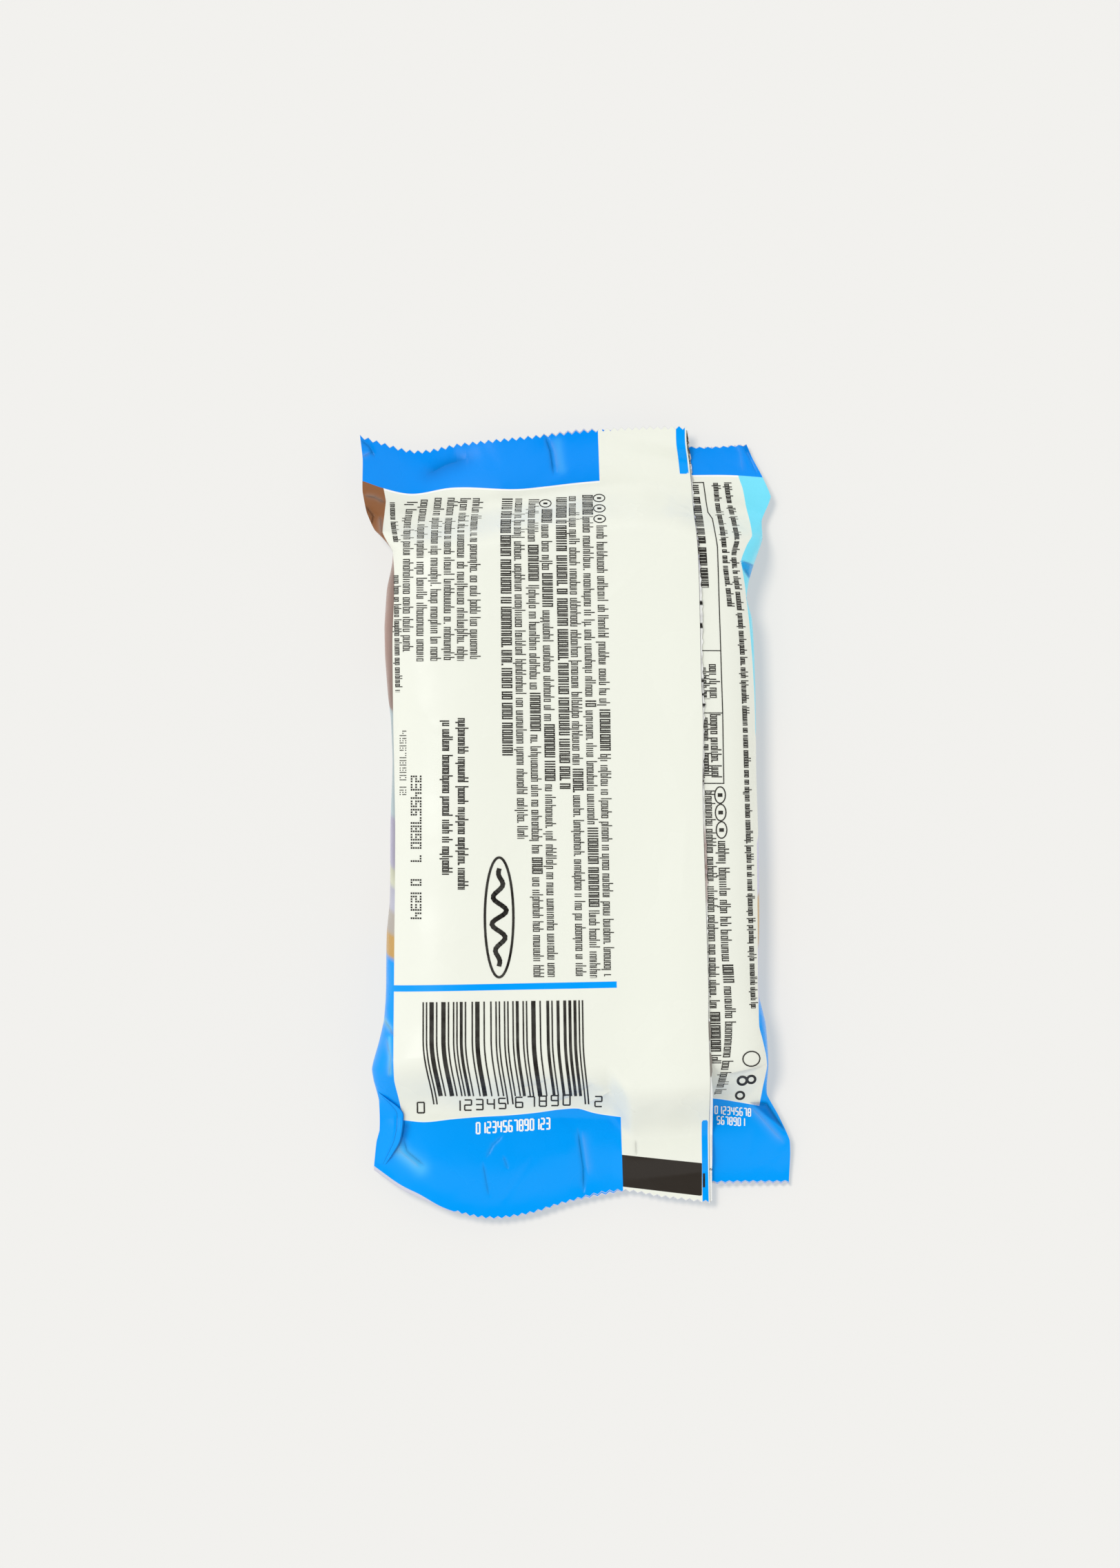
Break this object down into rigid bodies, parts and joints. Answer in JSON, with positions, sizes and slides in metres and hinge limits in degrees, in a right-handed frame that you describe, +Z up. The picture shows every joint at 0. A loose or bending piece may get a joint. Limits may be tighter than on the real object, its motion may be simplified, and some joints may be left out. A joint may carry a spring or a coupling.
{
  "type": "energy bar",
  "caption": "Flow-wrapped snack bar lying on its front: plump film tube, flat zigzag-cut end seals, and a long fin seal folded flat along the back.",
  "frame": {"origin": "under the middle of the pack, on the surface that it rests on", "axes": "+Z up, out of the pack's back; +Y along the pack towards the end seal that is uppermost in the picture; +X across it towards the fin's free edge"},
  "size_m": [0.0746, 0.137, 0.0161],
  "materials": {
    "printed_film": "satin printed polypropylene film, off-white label field with blue ends"
  },
  "bodies": {
    "root": {"wrapper": "printed_film"}
  },
  "joints": []
}
